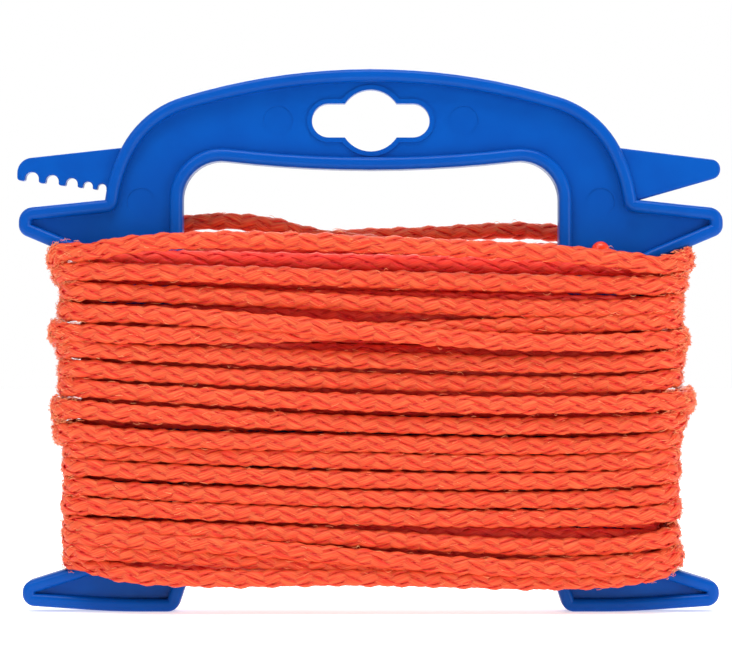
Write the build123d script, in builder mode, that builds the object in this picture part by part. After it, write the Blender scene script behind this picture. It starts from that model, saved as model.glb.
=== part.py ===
"""Hand line reel: a one-piece moulded frame wound with braided line.

The reel stands on its two feet in the XZ plane. X runs along the reel, Z is up and
the front of the reel faces -Y. The origin is on the ground, midway between the feet.
All sizes are in millimetres.
"""
import math
import os

from build123d import *

# Frame moulding
half_length = 95.4          # centre line to the tip of a horn
handle_top = 147.1          # crown of the carrying handle
frame_thickness = 9.0
web_thickness = 3.0
rim_width = 3.5
rim_rounding = 1.4
handle_radius = 176.0       # long curve of the handle's top
handle_half_chord = 51.0    # where that curve turns into the shoulder
shoulder_radius = 27.7
shoulder_turn = 45.0        # degrees
neck_radius = 42.1
neck_turn = 20.8            # degrees
leg_outer = 74.0
leg_root_radius = 5.0

# Horns and feet, as corners of the right half before they are rounded
horn_top = 109.3
horn_bottom = 102.6
horn_root = 93.6
horn_tip_radius = 4.0
foot_root = 14.2
foot_top = 7.8
foot_bottom = 1.7
foot_tip = 94.4
foot_tip_radius = 3.4
foot_flat_end = 69.0
heel_radius = 3.5

# Openings
opening_half_width = 51.0
opening_top = 122.6
opening_sag = 119.7         # lowest point of the handle's underside
opening_bottom = 56.0
opening_radius = 10.5
arch_radius = 54.0
arch_centre = -13.0
hang_height = 133.2
hang_length = 32.0
hang_slot_height = 9.2
hang_circle = 16.8
collar_width = 1.3
collar_height = 0.5

# Jaws beside the handle
jaw_thickness = 4.0
jaw_rounding = 0.6
comb_rounding = 0.34
jaw_top_root = 126.0
jaw_top_tip = 122.7
jaw_root_top = 66.0         # the jaws start inside the rim
jaw_root_bottom = 70.0
comb_bottom_tip = 117.0
comb_bottom_root = 113.9
comb_nose_radius = 4.2
comb_nose = 96.0
comb_heel_radius = 0.9
tooth_rounding = 0.3         # share of the radius of the scallop beside it
scallops = [(92.0, 1.85), (86.5, 1.75), (81.2, 1.6), (76.8, 1.3), (73.0, 1.2)]
scallop_depth = 2.7         # from the teeth's line to the top of the widest scallop
notch_x = 72.2
notch_height = 111.4
notch_jaw_tip = 94.9
notch_jaw_bottom = 117.9
notch_tip_radius = 2.6

# Ejector marks, as faint round recesses on the front of the web
mark_depth = 0.2
handle_mark = (25.2, hang_height, 4.0)
leg_mark = (62.4, 111.1, 3.8)

# Braided line
line_diameter = 4.8
anchor_x = 62.4
anchor_height = 97.9
anchor_hole = 3.8
bead_diameter = 5.0
bead_height = 2.3

# Winding, in layers one line thick: half width, half depth and corner of each layer
inner_side = leg_outer + line_diameter
outer_side = inner_side + line_diameter
top_side = outer_side + line_diameter
inner_depth = frame_thickness / 2 + line_diameter
outer_depth = inner_depth + line_diameter
top_depth = outer_depth + line_diameter
inner_corner = line_diameter + rim_rounding
outer_corner = inner_corner + line_diameter
top_corner = outer_corner + line_diameter
top_turn_heights = [58.4, 76.6, 94.8]

# Upper edge of each layer from left to right, and its lower edge at the sides and middle
inner_front_top = [(-inner_side, 94.5), (-60, 97.0), (0, 97.2), (54, 95.6), (inner_side, 93.0)]
inner_back_top = [(-inner_side, 94.5), (-50, 102.0), (50, 102.4), (66, 101.0), (inner_side, 93.5)]
inner_bottom = (13.0, 9.0)
outer_front_top = [
    (-outer_side, 98.4),
    (-66, 101.4),
    (-48, 103.2),
    (-18, 102.8),
    (32, 101.0),
    (54, 99.2),
    (72, 97.2),
    (outer_side, 96.8),
]
outer_back_top = [
    (-outer_side, 98.4),
    (-62, 104.0),
    (-48, 106.6),
    (-34, 107.6),
    (-16, 105.4),
    (50, 105.6),
    (66, 102.6),
    (outer_side, 96.8),
]
outer_bottom = (12.0, 6.6)

# Free end of the line: the lowest top turn stops on the back, and its end rises from there
last_turn_start = -60.0
last_turn_end = 20.0
free_end_route = [
    (last_turn_end, top_turn_heights[0]),
    (8.0, top_turn_heights[0]),
    (-4.0, 60.6),
    (-16.0, 64.6),
    (-27.0, 68.8),
    (-37.0, 70.8),
]
tip_length = 3.4

half_thickness = frame_thickness / 2
half_web = web_thickness / 2
line_radius = line_diameter / 2


def save(part, label):
    """Give a finished piece its name and write its STEP file."""
    part.label = label
    export_step(part, f"parts/{label}.step")
    print(f"{label}: {part.volume / 1000:.2f} cm3")


os.makedirs("parts", exist_ok=True)

# ---------------------------------------------------------------- frame outline
handle_drop = handle_radius - math.sqrt(handle_radius**2 - handle_half_chord**2)
shoulder_height = handle_top - handle_drop

with BuildSketch(Plane.XZ) as outline:
    with BuildLine():
        handle = ThreePointArc(
            (-handle_half_chord, shoulder_height),
            (0, handle_top),
            (handle_half_chord, shoulder_height),
        )
        shoulder = JernArc(handle @ 1, handle % 1, shoulder_radius, -shoulder_turn)
        neck = JernArc(shoulder @ 1, shoulder % 1, neck_radius, -neck_turn)
        side = FilletPolyline(
            neck @ 1,
            (half_length, horn_top),
            (half_length, horn_bottom),
            (leg_outer, horn_root),
            (leg_outer, foot_root),
            (foot_tip, foot_top),
            (foot_tip, foot_bottom),
            (foot_flat_end, 0),
            (0, 0),
            radius=[
                horn_tip_radius,
                horn_tip_radius * 0.8,
                leg_root_radius,
                leg_root_radius,
                foot_tip_radius,
                foot_tip_radius,
                2 * half_length,
            ],
        )
        mirror(shoulder, about=Plane.YZ)
        mirror(neck, about=Plane.YZ)
        mirror(side, about=Plane.YZ)
    make_face()
    # Space between the feet, under an arched crossbar
    with Locations((0, arch_centre)):
        Circle(arch_radius, mode=Mode.SUBTRACT)
    on_ground = outline.vertices().filter_by(lambda v: abs(v.Y) < 0.01)
    fillet(on_ground.sort_by(lambda v: abs(v.X))[0:2], heel_radius)

with BuildSketch(Plane.XZ) as opening:
    with BuildLine():
        ceiling = ThreePointArc(
            (-opening_half_width, opening_top + 1.0),
            (0, opening_sag),
            (opening_half_width, opening_top + 1.0),
        )
        Polyline(
            ceiling @ 1,
            (opening_half_width, opening_bottom),
            (-opening_half_width, opening_bottom),
            ceiling @ 0,
        )
    make_face()
    fillet(opening.vertices(), opening_radius)

with BuildSketch(Plane.XZ) as rimmed:
    add(outline.sketch_local)
    add(opening.sketch_local, mode=Mode.SUBTRACT)

with BuildSketch(Plane.XZ) as pocket:
    add(rimmed.sketch_local)
    offset(amount=-rim_width, kind=Kind.ARC, mode=Mode.REPLACE)

with BuildSketch(Plane.XZ) as hang_hole:
    with Locations((0, hang_height)):
        SlotOverall(hang_length, hang_slot_height)
        Circle(hang_circle / 2)

with BuildSketch(Plane.XZ) as collar:
    with Locations((0, hang_height)):
        SlotOverall(hang_length + 2 * collar_width, hang_slot_height + 2 * collar_width)
        Circle(hang_circle / 2 + collar_width)

# ---------------------------------------------------------------- jaws
def round_jaw_edges(jaw, rounding):
    """Round the edges of a jaw's two faces, except at its root."""
    edges = jaw.edges().filter_by(lambda e: abs(abs(e.center().Y) - jaw_thickness / 2) < 0.01)
    fillet(edges.filter_by(lambda e: abs(e.center().X) > jaw_root_bottom + 0.5), rounding)


with BuildPart() as comb_jaw:
    with BuildSketch(Plane.XZ) as comb:
        with BuildLine():
            FilletPolyline(
                (-jaw_root_top, jaw_top_root),
                (-comb_nose, jaw_top_tip),
                (-comb_nose, comb_bottom_tip),
                (-jaw_root_bottom, comb_bottom_root),
                radius=[comb_nose_radius, comb_heel_radius],
            )
            Polyline(
                (-jaw_root_bottom, comb_bottom_root),
                (-jaw_root_bottom, notch_height + 1.5),
                (-jaw_root_top, jaw_top_root),
            )
        make_face()
        for x, radius in scallops:
            along = (comb_nose - x) / (comb_nose - jaw_root_bottom)
            teeth_line = comb_bottom_tip + along * (comb_bottom_root - comb_bottom_tip)
            middle = teeth_line + scallop_depth * radius / scallops[0][1] - radius
            with Locations((-x, middle)):
                Circle(radius, mode=Mode.SUBTRACT)
            with Locations((-x, middle - 2)):
                Rectangle(2 * radius, 4, mode=Mode.SUBTRACT)
            mouth = comb.vertices().filter_by(
                lambda v: abs(abs(v.X + x) - radius) < 0.01 and abs(v.Y - teeth_line) < 0.4
            )
            fillet(mouth, tooth_rounding * radius)
    extrude(amount=jaw_thickness / 2, both=True)
    round_jaw_edges(comb_jaw, comb_rounding)

with BuildPart() as notch_jaw:
    with BuildSketch(Plane.XZ):
        with BuildLine():
            FilletPolyline(
                (jaw_root_top, jaw_top_root),
                (notch_jaw_tip, jaw_top_tip - 0.3),
                (notch_jaw_tip, notch_jaw_bottom),
                (notch_x, notch_height),
                radius=notch_tip_radius,
            )
            Polyline(
                (notch_x, notch_height),
                (jaw_root_bottom, notch_height - 0.4),
                (jaw_root_top, jaw_top_root),
            )
        make_face()
    extrude(amount=jaw_thickness / 2, both=True)
    round_jaw_edges(notch_jaw, jaw_rounding)

# ---------------------------------------------------------------- frame
with BuildPart() as frame:
    extrude(to_extrude=rimmed.sketch, amount=half_thickness, both=True)
    # A pocket in each face leaves a thin web inside a rounded rim
    with BuildSketch(Plane.XZ.offset(half_web)):
        add(pocket.sketch_local)
    extrude(amount=half_thickness, mode=Mode.SUBTRACT)
    with BuildSketch(Plane.XZ.offset(-half_web)):
        add(pocket.sketch_local)
    extrude(amount=-half_thickness, mode=Mode.SUBTRACT)
    crests = frame.edges().filter_by(lambda e: abs(abs(e.center().Y) - half_thickness) < 0.01)
    fillet(crests, rim_rounding)
    # Hang hole with its collar
    extrude(to_extrude=collar.sketch, amount=half_web + collar_height, both=True)
    extrude(to_extrude=hang_hole.sketch, amount=half_thickness, both=True, mode=Mode.SUBTRACT)
    # Ejector marks
    with BuildSketch(Plane.XZ.offset(half_web)):
        for x, height, radius in (handle_mark, leg_mark):
            with Locations((x, height), (-x, height)):
                Circle(radius)
    extrude(amount=-mark_depth, mode=Mode.SUBTRACT)
    # Anchor hole for the inner end of the line
    with BuildSketch(Plane.XZ):
        with Locations((anchor_x, anchor_height)):
            Circle(anchor_hole / 2)
    extrude(amount=half_thickness, both=True, mode=Mode.SUBTRACT)
    add(comb_jaw.part)
    add(notch_jaw.part)

save(frame.part, "frame")

# ---------------------------------------------------------------- inner end of the line
with BuildPart() as anchor_bead:
    anchor_front = Plane(
        origin=(anchor_x, -half_web, anchor_height), x_dir=(1, 0, 0), z_dir=(0, -1, 0)
    )
    # Melted bead, seated on the front of the web
    with BuildSketch(anchor_front):
        Circle(bead_diameter / 2)
    extrude(amount=bead_height)
    fillet(anchor_bead.faces().sort_by(Axis.Y)[0].edges(), bead_height * 0.9)
    # Neck squeezed through the hole
    with BuildSketch(anchor_front):
        Circle(anchor_hole / 2)
    extrude(amount=-web_thickness)
    # Line from the back of the web to the first turn
    with BuildSketch(anchor_front.offset(-web_thickness)):
        Circle(line_radius)
    extrude(amount=-(half_thickness - half_web))

save(anchor_bead.part, "anchor_bead")


# ---------------------------------------------------------------- winding
def winding_layer(label, side, depth, corner, front_top, back_top, bottom):
    """A closed sleeve of wound line, one line thick, whose outer surface is given.

    front_top and back_top are the corners of its upper edge from left to right.
    bottom holds the height of its lower edge at the sides and in the middle.
    """
    side_bottom, middle_bottom = bottom
    lower_edge = [
        (side, side_bottom),
        (side - 8, middle_bottom),
        (8 - side, middle_bottom),
        (-side, side_bottom),
    ]
    with BuildPart() as sleeve:
        for facing, upper_edge in ((1, front_top), (-1, back_top)):
            with BuildSketch(Plane.XZ):
                with BuildLine():
                    Polyline(*upper_edge, *lower_edge, close=True)
                make_face()
            extrude(amount=facing * depth)
        with BuildSketch(Plane.XY):
            RectangleRounded(2 * side, 2 * depth, corner)
            RectangleRounded(
                2 * (side - line_diameter),
                2 * (depth - line_diameter),
                corner - line_diameter,
                mode=Mode.SUBTRACT,
            )
        extrude(amount=handle_top, mode=Mode.INTERSECT)
        # The horns and feet stand out through the sides of the winding
        extrude(to_extrude=outline.sketch, amount=half_thickness, both=True, mode=Mode.SUBTRACT)
    save(sleeve.part, label)


winding_layer(
    "winding_inner", inner_side, inner_depth, inner_corner, inner_front_top, inner_back_top, inner_bottom
)
winding_layer(
    "winding_outer", outer_side, outer_depth, outer_corner, outer_front_top, outer_back_top, outer_bottom
)

# Single turns that ride over the outer layer
with BuildPart() as winding_top_turns:
    for height in top_turn_heights:
        with BuildSketch(Plane.XY.offset(height - line_radius)):
            RectangleRounded(2 * top_side, 2 * top_depth, top_corner)
            RectangleRounded(2 * outer_side, 2 * outer_depth, outer_corner, mode=Mode.SUBTRACT)
        extrude(amount=line_diameter)
    # The lowest one is open on the back, where the line ends
    with BuildSketch(Plane.XY):
        with Locations(((last_turn_start + last_turn_end) / 2, top_depth)):
            Rectangle(last_turn_end - last_turn_start, 2 * line_diameter)
    extrude(amount=top_turn_heights[0] + line_diameter, mode=Mode.SUBTRACT)

save(winding_top_turns.part, "winding_top_turns")

# ---------------------------------------------------------------- free end of the line
route = [Vector(x, outer_depth + line_radius, height) for x, height in free_end_route]
radii = []
for before, corner, after in zip(route, route[1:], route[2:]):
    turn = (corner - before).get_angle(after - corner)
    shorter_run = min((corner - before).length, (after - corner).length)
    radii.append(0.45 * shorter_run / math.tan(math.radians(turn / 2)))
print("free end radii:", [round(radius, 1) for radius in radii])

with BuildPart() as line_free_end:
    with BuildLine():
        tail = FilletPolyline(*route, radius=radii)
    with BuildSketch(Plane(origin=tail @ 0, z_dir=tail % 0)):
        Circle(line_radius)
    sweep()

section_volume = math.pi * line_radius**2 * tail.length
print("free end length:", round(tail.length, 1))
print("free end volume over section x length:", round(line_free_end.part.volume / section_volume, 4))
save(line_free_end.part, "line_free_end")

# Heat-sealed tip
with BuildPart() as line_end_tip:
    with BuildSketch(Plane(origin=tail @ 1, z_dir=tail % 1)):
        Circle(line_radius)
    extrude(amount=tip_length)
    fillet(line_end_tip.edges().sort_by(Axis.X)[0], line_radius * 0.8)

save(line_end_tip.part, "line_end_tip")
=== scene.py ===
import math

import bpy
import numpy as np
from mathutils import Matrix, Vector


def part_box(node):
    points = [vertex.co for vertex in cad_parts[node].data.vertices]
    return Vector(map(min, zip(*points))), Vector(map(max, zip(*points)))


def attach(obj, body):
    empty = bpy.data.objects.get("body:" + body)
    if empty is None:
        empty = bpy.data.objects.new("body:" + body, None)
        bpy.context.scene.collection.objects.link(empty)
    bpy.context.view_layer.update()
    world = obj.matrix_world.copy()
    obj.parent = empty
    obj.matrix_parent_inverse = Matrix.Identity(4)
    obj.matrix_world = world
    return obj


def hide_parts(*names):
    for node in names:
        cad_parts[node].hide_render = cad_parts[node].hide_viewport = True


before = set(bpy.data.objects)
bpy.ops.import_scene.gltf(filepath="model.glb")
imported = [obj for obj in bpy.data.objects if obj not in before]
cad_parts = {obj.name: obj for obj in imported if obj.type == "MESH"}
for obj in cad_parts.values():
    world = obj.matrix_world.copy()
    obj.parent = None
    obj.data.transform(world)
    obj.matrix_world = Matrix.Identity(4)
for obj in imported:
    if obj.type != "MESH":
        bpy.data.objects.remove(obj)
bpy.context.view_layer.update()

MM = 0.001

# ---------------------------------------------------------------- sizes from the frame
inner_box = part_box("winding_inner")
outer_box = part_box("winding_outer")
anchor_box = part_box("anchor_bead")

line_diameter = 4.8 * MM
line_radius = line_diameter / 2
anchor_x = (anchor_box[0].x + anchor_box[1].x) / 2
anchor_z = (anchor_box[0].z + anchor_box[1].z) / 2
web_back = 1.5 * MM         # half the thickness of the frame's web


# ---------------------------------------------------------------- camera
def make_camera():
    """Level with the middle of the picture and square on to the front of the reel."""
    camera = bpy.data.objects.new("camera", bpy.data.cameras.new("camera"))
    camera.location = (-0.0013, -0.8, 0.0762)
    camera.rotation_euler = (math.radians(90), 0, 0)
    camera.data.sensor_width = 36
    camera.data.lens = 144.6
    camera.data.clip_start = 0.01
    bpy.context.scene.collection.objects.link(camera)
    bpy.context.scene.camera = camera


# ---------------------------------------------------------------- the line's way round the reel
end_thickness = 3.7         # of the line where it is pressed flat round an end


class Layer:
    """One layer of line: the half width, half depth and corner radius of its centre line."""

    def __init__(self, box, corner):
        self.half_width = box[1].x / MM - end_thickness / 2
        self.half_depth = box[1].y / MM - line_radius / MM
        self.corner = corner


inner = Layer(inner_box, 3.8)
outer = Layer(outer_box, 8.6)

stations = (-80, -40, 0, 40, 80)
out_stations = (-80, 0, 80)
along_front = (-66, -44, -22, 0, 22, 44, 66)
corner_turns = (15, 45, 75)
end_share = 0.17            # of the climb behind the reel, the part made at each end
left_lift = 1.5             # how much lower the front of a turn starts than its back ends
right_lift = 1.6            # how much a turn kinks upwards as it leaves the front
horn_clearance = 95.4       # highest centre of a line beside the frame, under the horns
foot_clearance = 14.8       # lowest one, over the feet


class Turn:
    """One turn: its heights along the front, and how far it stands out at left, middle and right.

    back holds places across the back, as x, height and how far out, where it isn't straight.
    """

    def __init__(self, heights, outs=(0, 0, 0), back=()):
        self.heights = heights
        self.outs = outs
        self.back = back
        self.curve = np.polyfit(stations, heights, len(stations) - 1)

    def height(self, x):
        return np.polyval(self.curve, x)

    def out(self, x):
        return np.interp(x, out_stations, self.outs)


def round_end(layer, side, forwards, out, heights):
    """Points of the line where it goes round one end of the reel, worked out from the corners."""
    points = []
    reach = layer.corner / math.cos(math.radians(corner_turns[0]))
    straight = layer.half_depth - layer.corner
    turns = [*corner_turns, *(180 - turn for turn in reversed(corner_turns))]
    for turn, z in zip(turns, np.linspace(*heights, len(turns))):
        angle = math.radians(turn)
        x = layer.half_width - layer.corner + math.sin(angle) * (reach + out)
        y = -math.cos(angle) * reach + (straight if turn > 90 else -straight)
        if abs(turn - 90) < 20:
            z = min(max(z, foot_clearance), horn_clearance)
        points.append((side * x, -y if forwards else y, z))
    return points


def turn_points(layer, turn, next_turn):
    """One whole turn: along the front to the right, round the end, and back to the left."""
    points = [(x, -layer.half_depth - turn.out(x), turn.height(x)) for x in along_front]
    start, end = turn.heights[-1], next_turn.heights[0]
    out_right, out_left = turn.outs[-1], next_turn.outs[0]
    right = start + right_lift + end_share * (end - start)
    left = end + left_lift - end_share * (end - start)
    back = turn.back
    if not back:
        shares = np.linspace(0, 1, len(along_front))
        back = [
            (-x, right + share * (left - right), out_right * (1 - share) + out_left * share)
            for x, share in zip(along_front, shares)
        ]
    points += round_end(layer, 1, False, out_right, (start, back[0][1]))
    points += [(x, layer.half_depth + out, z) for x, z, out in back]
    points += round_end(layer, -1, True, out_left, (back[-1][1], end))
    return points


third = 4.8                 # how far a turn stands out that rides over the outer layer

# The free end rises from the last turn and is tucked under the one before, on the back of the
# reel: x and height
free_end_route = [(20, 58.4), (8, 58.4), (-4, 60.6), (-16, 64.6), (-27, 68.8), (-37, 70.8)]

outer_turns = [
    Turn((13.4, 9.5, 10.1, 8.9, 11.4), (1, 0.8, -0.6)),
    Turn((16.9, 14.9, 12.8, 12.8, 14.4), (-0.2, -0.6, -0.4)),
    Turn((20.4, 18.6, 15.2, 12.4, 13.9), (0.3, 1.8, 1.4)),
    Turn((23.8, 22.3, 20.4, 18.2, 19.8), (0, 0, 0.4)),
    Turn((29.2, 27.5, 26.2, 25.7, 26.8), (0.5, 0, 0.8)),
    Turn((34.2, 32.1, 31.1, 30.7, 31.8), (0, 0, 0.2)),
    Turn((39.6, 37.4, 36.1, 35.7, 37.2), (0.3, 0, 0.7)),
    Turn((44.1, 42.4, 41.2, 40.5, 41.7), (0, 0, 0.4)),
    Turn((48.7, 46.7, 45.8, 45.2, 46.3), (2.7, 0, 1.0)),
    Turn((54.9, 52.8, 51.1, 50.6, 51.4), (3.4, 0, 2.5)),
    Turn((66.1, 63.8, 62.6, 61.6, 62.6), (1.3, 0, 1.1)),
    Turn((71.4, 69.4, 68.3, 67.1, 68.0), (1.8, 0, 1.9)),
    Turn((75.5, 74.9, 76.0, 77.5, 78.5), (4.0, 0, 1.2)),
    Turn((86.8, 85.3, 83.5, 82.1, 82.7), (0.9, 0, 1.4)),
    Turn(
        (92.1, 91.3, 90.0, 89.0, 88.1),
        (3.0, 0, 2.5),
        [
            (66, 92.0, 2),
            (44, 94.0, 0),
            (22, 97.0, 0),
            (0, 100.5, 0),
            (-16, 102.0, 0),
            (-27, 105.4, 0),
            (-38, 106.5, 0),
            (-50, 106.2, 0),
            (-64, 101.5, 1),
        ],
    ),
    # Turns that ride over the others
    Turn(
        (96.8, 100.6, 99.3, 97.5, 93.4),
        (4.4, 1, 4.2),
        [
            (67, 98.6, third),
            (54, 103.2, third),
            (38, 104.2, third),
            (18, 102.8, third),
            (0, 102.4, third),
            (-14, 101.6, third),
            (-28, 99.6, third),
            (-42, 95.0, third),
            (-54, 89.4, third),
            (-66, 83.4, 3),
        ],
    ),
    Turn(
        (80.8, 79.3, 75.8, 73.0, 73.6),
        (1.4, third, 2.9),
        [
            (66, 74.2, third),
            (44, 70.6, third),
            (22, 68.9, 5.2),
            (4, 67.4, 7.2),
            (-10, 66.4, 2 * third),
            (-24, 65.3, 2 * third),
            (-38, 64.1, 6.8),
            (-54, 62.8, third),
            (-66, 61.8, 3),
        ],
    ),
    Turn(
        (60.8, 58.3, 56.9, 56.2, 57.1),
        (1.3, 1.8, 4.6),
        [(66, 57.6, third), (44, 58.2, third), *((x, z, third) for x, z in free_end_route)],
    ),
]

inner_turn_count = 18
inner_top = 94.4
inner_bottom = 12.2
inner_fall = 1.6            # how much lower a turn is at the right than at the middle
lead_height = 95            # where the line behind the web starts round the left end
lead_out = 1.6              # how far out from the first layer that is


def line_points():
    """Control points of the whole line, from the anchor to the free end, in millimetres."""
    x, z = anchor_x / MM, anchor_z / MM
    points = [
        (x, web_back / MM, z),
        (x, 4.6, z),
        (x - 2.6, 7.2, z - 0.1),
        (x - 12, 7.0, z),
        (x - 30, 7.0, z - 0.1),
        (x - 55, 7.0, z + 0.6),
        (x - 80, 7.0, z + 0.8),
        (x - 105, 7.0, z - 0.3),
        (x - 125, 7.0, z - 1.6),
    ]
    levels = np.linspace(inner_top, inner_bottom, inner_turn_count)
    inner_turns = [
        Turn([level - inner_fall * place / stations[-1] for place in stations])
        for level in levels
    ]
    points += round_end(inner, -1, True, lead_out, (lead_height, inner_turns[0].heights[0]))
    # The last inner turn goes wide at the left, over the layer's end, to start the outer layer
    stepping_out = Turn(outer_turns[0].heights, (5.2, 0, 0))
    for turn, next_turn in zip(inner_turns, [*inner_turns[1:], stepping_out]):
        points += turn_points(inner, turn, next_turn)
    for turn, next_turn in zip(outer_turns, outer_turns[1:]):
        points += turn_points(outer, turn, next_turn)
    # The last turn ends on the back, without going round the left end
    last = turn_points(outer, outer_turns[-1], outer_turns[-1])
    return points + last[: -2 * len(corner_turns)]


def spline_object(name, points):
    """A NURBS curve through the control points, as smooth as limp line lies."""
    curve = bpy.data.curves.new(name, "CURVE")
    curve.dimensions = "3D"
    curve.resolution_u = 14
    spline = curve.splines.new("NURBS")
    spline.points.add(len(points) - 1)
    for point, place in zip(spline.points, points):
        point.co = (*(value * MM for value in place), 1)
    spline.order_u = 3
    spline.use_endpoint_u = True
    return bpy.data.objects.new(name, curve)


def centreline(points):
    """The smooth line that the control points give, as an array of places in metres."""
    guide = spline_object("line_guide", points)
    mesh = bpy.data.meshes.new_from_object(guide)
    line = np.array([vertex.co for vertex in mesh.vertices], float)
    bpy.data.meshes.remove(mesh)
    bpy.data.curves.remove(guide.data)
    return line


def spaced(line):
    """The same line with even points, fewer in the hidden inner layer.

    Also gives how far along each point is, and how many are in the inner layer.
    """
    lengths = np.linalg.norm(np.diff(line, axis=0), axis=1)
    along = np.concatenate([[0], np.cumsum(lengths)])
    leaves_inner = along[np.argmax(line[:, 0] < -(inner.half_width + step_out) * MM)]
    within = np.arange(0, leaves_inner, inner_step)
    at = np.concatenate([within, np.arange(leaves_inner, along[-1], outer_step)])
    even = np.stack([np.interp(at, along, line[:, axis]) for axis in range(3)], axis=1)
    return even, at, len(within)


def unit(vectors):
    return vectors / np.linalg.norm(vectors, axis=1)[:, None]


def directions(line):
    """Unit vectors out of the winding and up at each point. The line never runs upright."""
    tangents = unit(np.gradient(line, axis=0))
    outward = unit(np.cross(tangents, (0, 0, 1)))
    return tangents, outward, np.cross(outward, tangents)


def wander(along, wavelength, seed):
    """A smooth random value from about -1 to 1 along the line."""
    random = np.random.default_rng(seed)
    knots = random.uniform(-1, 1, int(along[-1] / wavelength) + 3)
    place = along / wavelength
    whole = place.astype(int)
    part = place - whole
    part = part * part * (3 - 2 * part)
    return knots[whole] * (1 - part) + knots[whole + 1] * part


def quad_object(name, vertices, quads, uv_maps):
    """A smooth mesh piece of quads. uv_maps holds four places for each quad, by name."""
    mesh = bpy.data.meshes.new(name)
    mesh.vertices.add(len(vertices))
    mesh.vertices.foreach_set("co", vertices.astype(np.float32).ravel())
    mesh.loops.add(quads.size)
    mesh.loops.foreach_set("vertex_index", quads.astype(np.int32).ravel())
    mesh.polygons.add(len(quads))
    mesh.polygons.foreach_set("loop_start", np.arange(0, quads.size, 4, dtype=np.int32))
    mesh.polygons.foreach_set("use_smooth", np.ones(len(quads), bool))
    mesh.update(calc_edges=True)
    for map_name, places in uv_maps.items():
        layer = mesh.uv_layers.new(name=map_name)
        layer.data.foreach_set("uv", places.astype(np.float32).ravel())
    mesh.validate()
    piece = bpy.data.objects.new(name, mesh)
    bpy.context.scene.collection.objects.link(piece)
    return piece


def tube_quads(rings, corners):
    """Quads between the rings of one tube, with each quad's ring and corner."""
    ring, corner = np.meshgrid(np.arange(rings - 1), np.arange(corners), indexing="ij")
    following = (corner + 1) % corners
    quads = np.stack(
        [
            ring * corners + corner,
            ring * corners + following,
            (ring + 1) * corners + following,
            (ring + 1) * corners + corner,
        ],
        axis=-1,
    )
    return quads.reshape(-1, 4), ring.ravel(), corner.ravel()


# ---------------------------------------------------------------- braid
inner_step = 2.4 * MM       # distance between a strand's rings in the inner layer
outer_step = 1.2 * MM       # and outside it
step_out = 2.5              # how far past the inner layer's end the line has left that layer
braid_pitch = 33.6 * MM
strands_each_way = 4
strand_middle = 1.62 * MM   # radius at which a strand's centre runs on average
strand_weave = 0.45 * MM    # how far its middle goes out and in as it passes over and under
strand_half_width = 1.28 * MM
strand_half_height = 0.4 * MM
strand_section = (
    (1, -0.3), (0.8, 0.4), (0.4, 0.85), (0, 1), (-0.4, 0.85), (-0.8, 0.4), (-1, -0.3), (0, -1.2)
)
core_corners = 8            # of the hollow that the strands close round, nearly shut
core_radius = 1.54 * MM
flat_within = (0.9, 1.16)   # depth and height of the line in the inner layer, pressed flat
flat_front = (0.96, 1.07)   # the same in the layers over it
flat_end = (0.78, 1.45)     # the same where the line goes round an end
braid_drift = 0.5           # how far the braid turns round the line at random, in radians
unevenness = 0.1            # how much a strand's place and fullness vary
bake_rows = 290             # of the UV map to bake, which holds the strands in short pieces


def flattening(outward, within):
    """How much deeper and higher than round the line is, by the way that it faces.

    The first points, as many as within says, are in the inner layer.
    """
    at_end = np.abs(outward[:, :1])
    inside = np.arange(len(outward))[:, None] < within
    return [
        np.where(inside, pressed, front) * (1 - at_end) + end * at_end
        for pressed, front, end in zip(flat_within, flat_front, flat_end)
    ]


def strand_rings(line, phase, outward, up, hand, number, along, within):
    """Rings of one strand of the braid. hand is 1 or -1, for the way that it twists."""
    angle = hand * phase + 2 * math.pi * number / strands_each_way
    radius = strand_middle + unevenness * MM * wander(along, 5 * MM, 100 + 10 * number + hand)
    cosine, sine = np.cos(angle)[:, None], np.sin(angle)[:, None]
    depth, height = flattening(outward, within)
    centre = line + radius[:, None] * (depth * cosine * outward + height * sine * up)
    forward = unit(np.gradient(centre, axis=0))
    sideways = unit(np.cross(forward, cosine * outward + sine * up))
    lift = np.cross(sideways, forward)
    over = strand_weave * hand * np.cos(strands_each_way * phase)
    fullness = 1 + unevenness * wander(along, 4 * MM, 500 + 10 * number + hand)
    rings = []
    for wide, high in strand_section:
        # The middle swells out and its edges stay, so that each crossing is a lens
        rise = high * strand_half_height + math.cos(math.radians(90 * wide)) * over
        spread = fullness * wide * strand_half_width
        rings.append(centre + spread[:, None] * sideways + (fullness * rise)[:, None] * lift)
    return np.stack(rings, axis=1).reshape(-1, 3)


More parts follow.
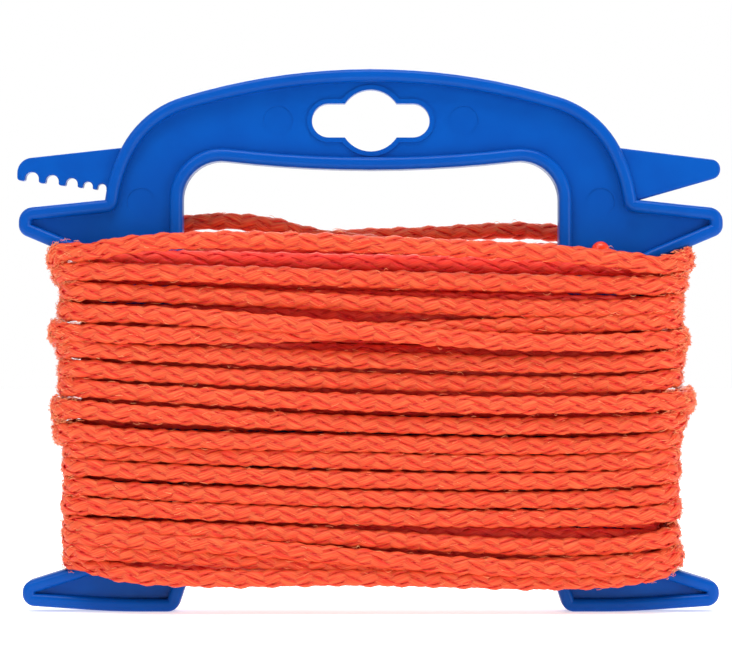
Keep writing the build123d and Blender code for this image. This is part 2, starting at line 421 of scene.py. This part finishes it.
def braid_object(name, line, along, within):
    """The braided line as one mesh, with one UV map along and across its strands and one to bake.

    The faces of its first points, as many as within says, take the second material, whose deeper
    crimson is painted shade for the shaded inner layer.
    """
    _, outward, up = directions(line)
    phase = 2 * math.pi * along / braid_pitch + braid_drift * wander(along, 60 * MM, 1)
    corners = len(strand_section)
    quads, ring, corner = tube_quads(len(line), corners)
    across = np.stack([corner, corner + 1, corner + 1, corner], axis=-1) / corners
    lengthways = np.stack([along[ring], along[ring], along[ring + 1], along[ring + 1]], axis=-1)
    strands = 2 * strands_each_way
    per_row = math.ceil((len(line) - 1) * strands / bake_rows)
    vertices, all_quads, strand_uv, bake_uv = [], [], [], []
    for strand in range(strands):
        hand, number = (1, -1)[strand % 2], strand // 2
        all_quads.append(quads + strand * len(line) * corners)
        vertices.append(strand_rings(line, phase, outward, up, hand, number, along, within))
        strand_uv.append(np.stack([lengthways + 3.7 * strand, across], axis=-1))
        row, column = np.divmod(strand * (len(line) - 1) + ring, per_row)
        u = np.stack([column, column, column + 1, column + 1], axis=-1) / per_row
        v = (row[:, None] + across * corners / (corners + 1)) / bake_rows
        bake_uv.append(np.stack([u, v], axis=-1))
    maps = {"strand": np.concatenate(strand_uv), "OFBake": np.concatenate(bake_uv)}
    piece = quad_object(name, np.concatenate(vertices), np.concatenate(all_quads), maps)
    # The inner layer's faces take the crimson painted-shade material
    painted_shade_slots = np.tile(ring < within, strands).astype(np.int32)
    piece.data.polygons.foreach_set("material_index", painted_shade_slots)
    return piece


def core_object(name, line, within):
    """The inside of the hollow braid, which shows as a shade between its strands."""
    _, outward, up = directions(line)
    depth, height = flattening(outward, within)
    rings = []
    for corner in range(core_corners):
        angle = 2 * math.pi * corner / core_corners
        offset = depth * math.cos(angle) * outward + height * math.sin(angle) * up
        rings.append(line + core_radius * offset)
    quads, _, _ = tube_quads(len(line), core_corners)
    return quad_object(name, np.stack(rings, axis=1).reshape(-1, 3), quads, {})


# ---------------------------------------------------------------- stray fibres
fibre_count = 9000
fibre_radius = 0.07 * MM
fibre_lengths = (0.9 * MM, 2.6 * MM)
fibre_lift = 0.9 * MM       # the furthest that one stands off the line
loose_share = 0.2           # of the fibres, those with one end free
busy_start = 74             # how far from the middle of the reel they get more frequent
busy_width = 10             # over how many millimetres that grows to its most
busy_rise = 80              # how many times as frequent they are at the ends


def fuzz_object(name, line, along):
    """Stray fibres and pulled loops, most of them where the line goes round the ends."""
    random = np.random.default_rng(7)
    tangents, outward, up = directions(line)
    # Only the turns outside have fibres that show
    outer_turn = np.abs(line[:, 0]) / MM > outer.half_width - 8
    outer_turn |= np.abs(line[:, 1]) / MM > outer.half_depth - 1.5
    near_end = np.clip((np.abs(line[:, 0]) / MM - busy_start) / busy_width, 0, 1)
    likely = (1 + busy_rise * near_end ** 3) * outer_turn
    at = random.choice(len(line), fibre_count, p=likely / likely.sum())
    swing = random.uniform(-1.5, 1.5, fibre_count)[:, None]
    away = np.cos(swing) * outward[at] + np.sin(swing) * up[at]
    side = np.cross(tangents[at], away)
    slant = random.choice((-1, 1), fibre_count) * random.uniform(0.1, 0.6, fibre_count)
    forward = unit(tangents[at] + slant[:, None] * side)
    length = random.uniform(*fibre_lengths, fibre_count)[:, None]
    lift = random.uniform(0.1, 1.0, fibre_count)[:, None] ** 2 * fibre_lift
    loose = random.random(fibre_count)[:, None] < loose_share
    steps = np.linspace(0, 1, 6)
    depth, height = flattening(outward[at], 0)
    offset = depth * np.cos(swing) * outward[at] + height * np.sin(swing) * up[at]
    start = line[at] + line_radius * offset
    rings = []
    for t in steps:
        rise = np.where(loose, t * t, 4 * t * (1 - t)) * lift
        centre = start + forward * length * (t - 0.5) + away * rise
        thin = fibre_radius * (1 - 0.5 * loose * t)
        for turn in (0, 120, 240):
            angle = math.radians(turn)
            rings.append(centre + thin * (math.cos(angle) * away + math.sin(angle) * side))
    vertices = np.stack(rings, axis=1).reshape(-1, 3)
    quads, _, _ = tube_quads(len(steps), 3)
    points_each = 3 * len(steps)
    all_quads = (np.arange(fibre_count)[:, None, None] * points_each + quads).reshape(-1, 4)
    return quad_object(name, vertices, all_quads, {})


# ---------------------------------------------------------------- materials
def srgb(red, green, blue):
    """A colour given as 0 to 255 screen values, as the linear colour that a shader takes."""
    def linear(value):
        value /= 255
        return value / 12.92 if value <= 0.04045 else ((value + 0.055) / 1.055) ** 2.4
    return (linear(red), linear(green), linear(blue), 1)


def new_material(name):
    """A node material, its node tree and its Principled shader."""
    material = bpy.data.materials.new(name)
    material.use_nodes = True
    tree = material.node_tree
    return material, tree, tree.nodes["Principled BSDF"]


def braid_material(name, low, high, edge_shade):
    """Bright orange polypropylene braid, whose fibres run from the low colour to the high one,
    with a darker painted shade on the strands' tucked-under edges and undersides.
    """
    material, tree, shader = new_material(name)
    nodes, links = tree.nodes, tree.links
    strand = nodes.new("ShaderNodeUVMap")
    strand.uv_map = "strand"
    place = nodes.new("ShaderNodeSeparateXYZ")
    links.new(strand.outputs["UV"], place.inputs[0])
    # Fine grain across the strand, drawn out along it, makes its fibres
    stretched = nodes.new("ShaderNodeMapping")
    stretched.inputs["Scale"].default_value = (180, 13, 1)
    links.new(strand.outputs["UV"], stretched.inputs["Vector"])
    fibres = nodes.new("ShaderNodeTexNoise")
    fibres.inputs["Scale"].default_value = 1.0
    fibres.inputs["Detail"].default_value = 3
    links.new(stretched.outputs[0], fibres.inputs["Vector"])
    ramp = nodes.new("ShaderNodeValToRGB")
    ramp.color_ramp.elements[0].position = 0.36
    ramp.color_ramp.elements[0].color = low
    ramp.color_ramp.elements[1].position = 0.64
    ramp.color_ramp.elements[1].color = high
    links.new(fibres.outputs[0], ramp.inputs[0])
    # The strand's edges and underside, tucked under its neighbours, take a darker crimson colour:
    # painted shade of the creases. The curve starts with a point at 0, 0 and one at 1, 1.
    across = nodes.new("ShaderNodeFloatCurve")
    points = across.mapping.curves[0].points
    points[-1].location = (1, 0)
    for x, y in ((0.1, 0.7), (0.2, 1.0), (0.55, 1.0), (0.65, 0.7), (0.75, 0.0)):
        points.new(x, y)
    across.mapping.update()
    links.new(place.outputs["Y"], across.inputs["Value"])
    # Of the colour sockets of a Mix node, 6 and 7 go in and 2 comes out
    tint = nodes.new("ShaderNodeMix")
    tint.data_type = "RGBA"
    tint.inputs[6].default_value = edge_shade
    links.new(across.outputs[0], tint.inputs["Factor"])
    links.new(ramp.outputs["Color"], tint.inputs[7])
    links.new(tint.outputs[2], shader.inputs["Base Color"])
    bump = nodes.new("ShaderNodeBump")
    bump.inputs["Strength"].default_value = 0.5
    bump.inputs["Distance"].default_value = 0.12 * MM
    links.new(fibres.outputs[0], bump.inputs["Height"])
    links.new(bump.outputs[0], shader.inputs["Normal"])
    shader.inputs["Roughness"].default_value = 0.5
    shader.inputs["Subsurface Weight"].default_value = 0.25
    shader.inputs["Subsurface Radius"].default_value = (1.0, 0.35, 0.2)
    shader.inputs["Subsurface Scale"].default_value = 0.002
    shader.inputs["Sheen Weight"].default_value = 0.1
    shader.inputs["Sheen Roughness"].default_value = 0.5
    shader.inputs["Sheen Tint"].default_value = srgb(255, 140, 60)
    shader.inputs["Specular IOR Level"].default_value = 0.22
    return material


def speckled(name, low, high, grain, relief):
    """A material that wanders from the low colour to the high one, with grain of some size."""
    material, tree, shader = new_material(name)
    nodes, links = tree.nodes, tree.links
    place = nodes.new("ShaderNodeTexCoord")
    noise = nodes.new("ShaderNodeTexNoise")
    noise.inputs["Scale"].default_value = 1 / grain
    noise.inputs["Detail"].default_value = 4
    links.new(place.outputs["Object"], noise.inputs["Vector"])
    ramp = nodes.new("ShaderNodeValToRGB")
    ramp.color_ramp.elements[0].position = 0.35
    ramp.color_ramp.elements[0].color = low
    ramp.color_ramp.elements[1].position = 0.65
    ramp.color_ramp.elements[1].color = high
    links.new(noise.outputs[0], ramp.inputs[0])
    links.new(ramp.outputs["Color"], shader.inputs["Base Color"])
    bump = nodes.new("ShaderNodeBump")
    bump.inputs["Strength"].default_value = 0.4
    bump.inputs["Distance"].default_value = relief
    links.new(noise.outputs[0], bump.inputs["Height"])
    links.new(bump.outputs[0], shader.inputs["Normal"])
    return material, shader


def line_material(name, low, high):
    """Fibres of the line that are too fine to have a braid of their own."""
    material, shader = speckled(name, low, high, 1.5 * MM, 0.02 * MM)
    shader.inputs["Roughness"].default_value = 0.6
    return material


def plastic_material():
    """Satin blue moulded plastic."""
    material, shader = speckled(
        "frame_plastic", srgb(0, 74, 165), srgb(0, 79, 171), 9 * MM, 0.06 * MM
    )
    shader.inputs["Roughness"].default_value = 0.3
    shader.inputs["Specular IOR Level"].default_value = 0.13
    return material


def bead_material():
    """Line melted smooth."""
    material, shader = speckled(
        "melted_line", srgb(244, 58, 20), srgb(255, 76, 30), 2 * MM, 0.05 * MM
    )
    shader.inputs["Roughness"].default_value = 0.25
    return material


def give(node, material):
    """Puts a material on everything that a CAD node shows."""
    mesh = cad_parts[node].data
    mesh.materials.clear()
    mesh.materials.append(material)


# ---------------------------------------------------------------- stage
floor_reach = 3.0           # from the middle of the floor to its edge, in metres
floor_glow = 0.52           # of its own, which keeps the floor white to the eye
sky_front = 0.14            # strength of the sky's light from behind the camera
sky_back = 0.72             # and from behind the reel
lamps_aim = (0, 0, 0.07)


def make_stage():
    """A white floor and soft light from all round."""
    world = bpy.data.worlds.new("studio")
    bpy.context.scene.world = world
    world.use_nodes = True
    background = world.node_tree.nodes["Background"]
    background.inputs["Color"].default_value = (1, 1, 1, 1)
    # The backdrop is white to the eye, and its light is softer than that
    nodes, links = world.node_tree.nodes, world.node_tree.links
    rays = nodes.new("ShaderNodeLightPath")
    direction = nodes.new("ShaderNodeTexCoord")
    place = nodes.new("ShaderNodeSeparateXYZ")
    links.new(direction.outputs["Generated"], place.inputs[0])
    front = nodes.new("ShaderNodeMapRange")
    front.inputs["From Min"].default_value = -0.75
    front.inputs["From Max"].default_value = -0.1
    front.inputs["To Min"].default_value = sky_front
    front.inputs["To Max"].default_value = sky_back
    links.new(place.outputs["Y"], front.inputs["Value"])
    # Of its number sockets, 2 and 3 go in and 0 comes out
    strength = nodes.new("ShaderNodeMix")
    strength.inputs[3].default_value = 1.0
    links.new(rays.outputs["Is Camera Ray"], strength.inputs["Factor"])
    links.new(front.outputs[0], strength.inputs[2])
    links.new(strength.outputs[0], background.inputs["Strength"])

    corners = [
        (floor_reach * x, floor_reach * y, 0) for x, y in ((-1, -1), (1, -1), (1, 1), (-1, 1))
    ]
    mesh = bpy.data.meshes.new("floor")
    mesh.from_pydata(corners, [], [(0, 1, 2, 3)])
    floor = bpy.data.objects.new("floor", mesh)
    bpy.context.scene.collection.objects.link(floor)
    material, tree, shader = new_material("floor_white")
    shader.inputs["Base Color"].default_value = (0.9, 0.9, 0.9, 1)
    shader.inputs["Roughness"].default_value = 0.9
    shader.inputs["Emission Color"].default_value = (1, 1, 1, 1)
    shader.inputs["Emission Strength"].default_value = floor_glow
    mesh.materials.append(material)

    def softbox(name, place, size, power):
        light = bpy.data.lights.new(name, "AREA")
        light.shape = "RECTANGLE"
        light.size, light.size_y = size
        light.energy = power
        lamp = bpy.data.objects.new(name, light)
        lamp.location = place
        aim = Vector(lamps_aim) - Vector(place)
        lamp.rotation_euler = aim.to_track_quat("-Z", "Y").to_euler()
        bpy.context.scene.collection.objects.link(lamp)

    softbox("key", (-0.6, -0.9, 0.8), (0.5, 0.5), 3.2)
    softbox("fill", (1.0, -0.85, 0.15), (0.6, 0.6), 5.5)
    softbox("top", (0.0, -0.3, 0.9), (0.7, 0.4), 5.5)
    softbox("back", (0.1, 0.9, 0.7), (0.9, 0.5), 7)
    bpy.context.scene.view_settings.view_transform = "Standard"


make_camera()
line, along, within = spaced(centreline(line_points()))
braid = braid_object("braided_line", line, along, within)
# Each braid material's third colour is painted shade for the creases at the strands' edges
braid.data.materials.append(
    braid_material("braided_line", srgb(224, 56, 34), srgb(236, 106, 60), srgb(230, 42, 36))
)
# Second material: a deeper crimson braid, painted shade for the line lying in the shaded inner
# layer
braid.data.materials.append(
    braid_material("braided_line_within_painted_shade", srgb(240, 46, 40), srgb(250, 80, 54), srgb(240, 34, 44))
)
core = core_object("line_core", line, within)
# The core's deep crimson is painted shade, seen in the seams between the strands
core.data.materials.append(line_material("line_core", srgb(242, 36, 42), srgb(250, 52, 46)))
fuzz = fuzz_object("line_fuzz", line, along)
# The stray fibres' pale yellow-orange is painted glow of backlight shining through them
fuzz.data.materials.append(line_material("line_fuzz", srgb(255, 96, 56), srgb(255, 176, 116)))
for piece in (core, fuzz):
    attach(piece, "root")
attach(braid, "root")
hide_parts("winding_inner", "winding_outer", "winding_top_turns", "line_free_end")
give("frame", plastic_material())
melted = bead_material()
give("anchor_bead", melted)
give("line_end_tip", melted)
make_stage()
